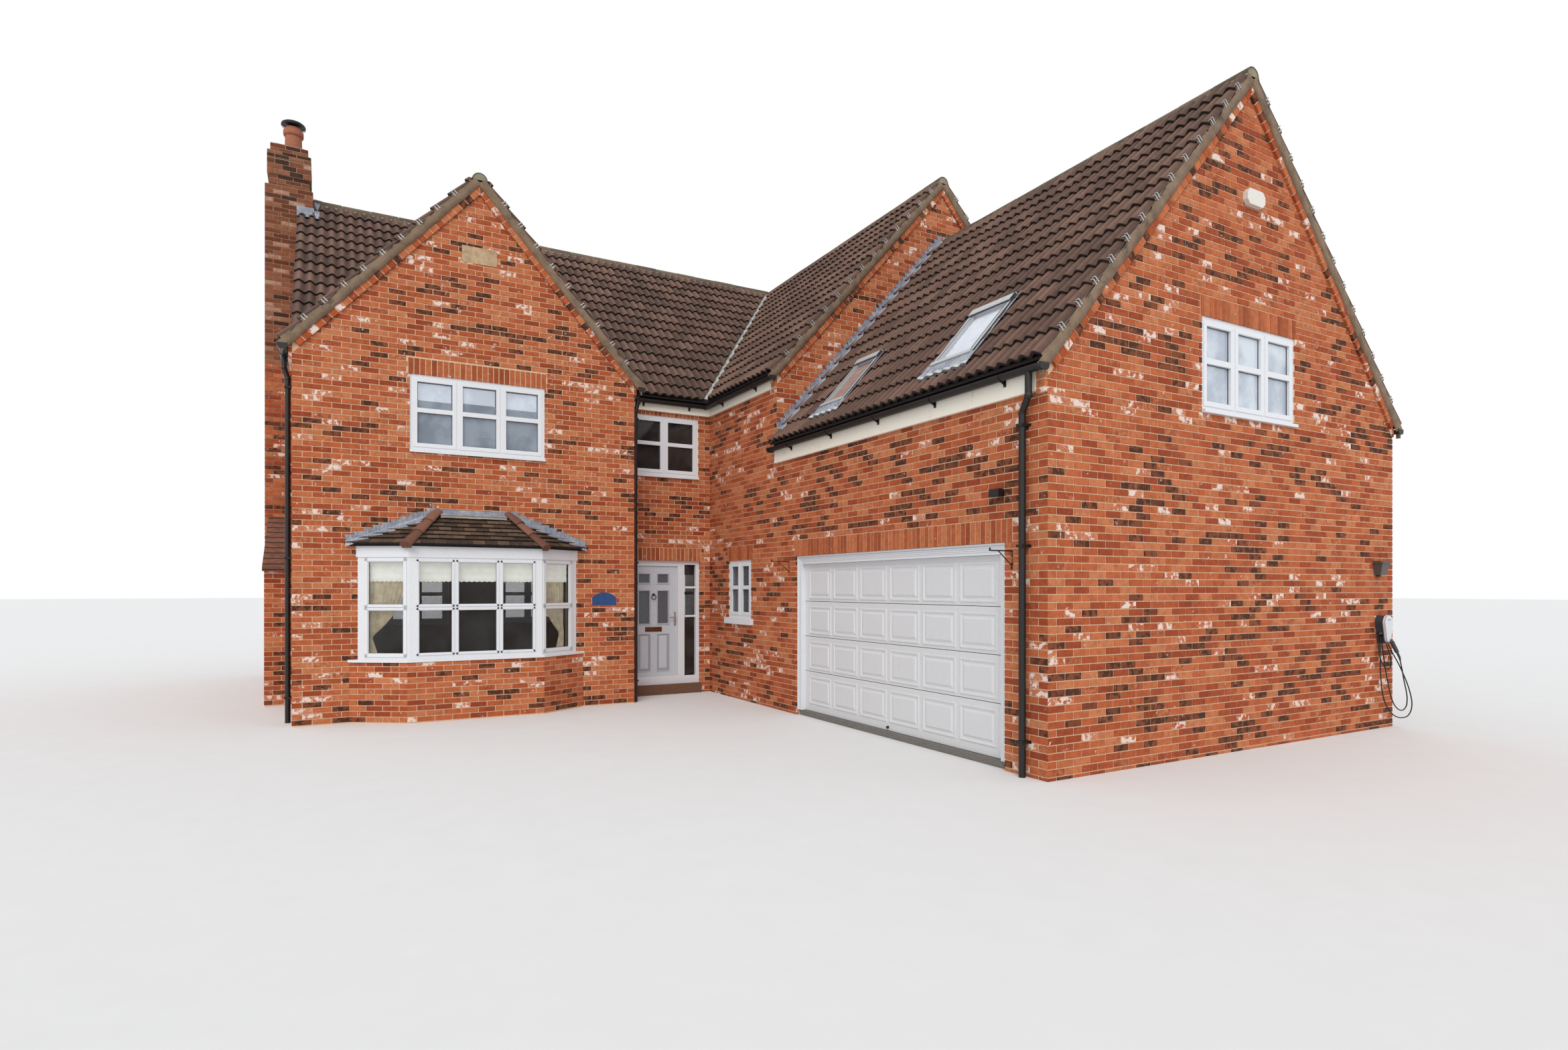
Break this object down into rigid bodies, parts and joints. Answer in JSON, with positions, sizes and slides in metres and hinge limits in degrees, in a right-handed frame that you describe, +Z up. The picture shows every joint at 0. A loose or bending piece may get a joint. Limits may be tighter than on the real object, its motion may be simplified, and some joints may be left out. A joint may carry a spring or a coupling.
{
  "type": "detached house",
  "caption": "Two-storey brick house with a bay window, a recessed entrance, a chimney and a gabled garage wing.",
  "frame": {"origin": "on the underside of the ground-floor slab, under the main ridge, in the plane of the right wing's left wall", "axes": "+X to the right seen from the front, along the main ridge; +Y to the back of the house; +Z up"},
  "size_m": [13.322, 15.4879, 10.066],
  "materials": {
    "brick": "wire-cut multi-red clay bricks in buff mortar",
    "roof_tile": "weathered brown concrete tiles",
    "concrete": "trowelled concrete",
    "timber": "boarded floor",
    "white_plastic": "smooth white window plastic",
    "black_plastic": "smooth black rainwater plastic",
    "clay": "fired clay",
    "glass": "clear sealed units",
    "grey_metal": "dark grey powder coat",
    "lead": "weathered sheet lead",
    "cable_rubber": "flexible cable sheath",
    "door_paint": "light grey satin paint",
    "chrome": "polished",
    "white_metal": "white satin paint on pressed steel",
    "step_stone": "sawn stone",
    "box_plastic": "moulded housing"
  },
  "bodies": {
    "house": {"ground_floors": "concrete", "upper_floors": "timber", "left_wing_front_wall": "brick", "left_side_wall": "brick", "left_wing_return_wall": "brick", "entrance_upper_wall": "brick", "entrance_piers": "brick", "wing_left_wall": "brick", "tall_gable_wall": "brick", "garage_front_wall": "brick", "right_side_wall": "brick", "back_wall": "brick", "main_roof": "roof_tile", "left_wing_roof": "roof_tile", "tall_wing_roof": "roof_tile", "garage_roof": "roof_tile", "ridge_tiles": "roof_tile", "verge_bands": "brick", "fascias": "white_plastic", "lead_flashings": "lead", "gutters": "black_plastic", "downpipes": "black_plastic", "chimney_stack": "brick", "chimney_pot": "clay", "chimney_cowl": "grey_metal", "hearth_wall": "brick", "hearth_tiles": "roof_tile", "bay_base": "brick", "bay_window": "white_plastic", "bay_fascia": "white_plastic", "bay_roof": "roof_tile", "upper_windows": "white_plastic", "cloakroom_window": "white_plastic", "back_windows": "white_plastic", "window_glass": "glass", "rooflights": "grey_metal", "front_door_frame": "white_plastic", "garage_door": "white_metal", "garage_door_frame": "white_metal", "door_step": "step_stone", "wall_tablets": "step_stone", "alarm_box": "box_plastic", "wall_lantern": "grey_metal", "charge_point": "box_plastic", "charge_cable": "cable_rubber", "security_light": "black_plastic", "basket_brackets": "grey_metal"},
    "front_door": {"front_door": "door_paint", "door_glass": "glass", "door_fittings": "chrome"}
  },
  "joints": [
    {"name": "front_door_hinge", "type": "hinge", "parent": "house", "child": "front_door", "pos_m": [-1.475, -3.542, 1.2], "axis": [0, 0, 1], "range_deg": [0, 90]}
  ]
}
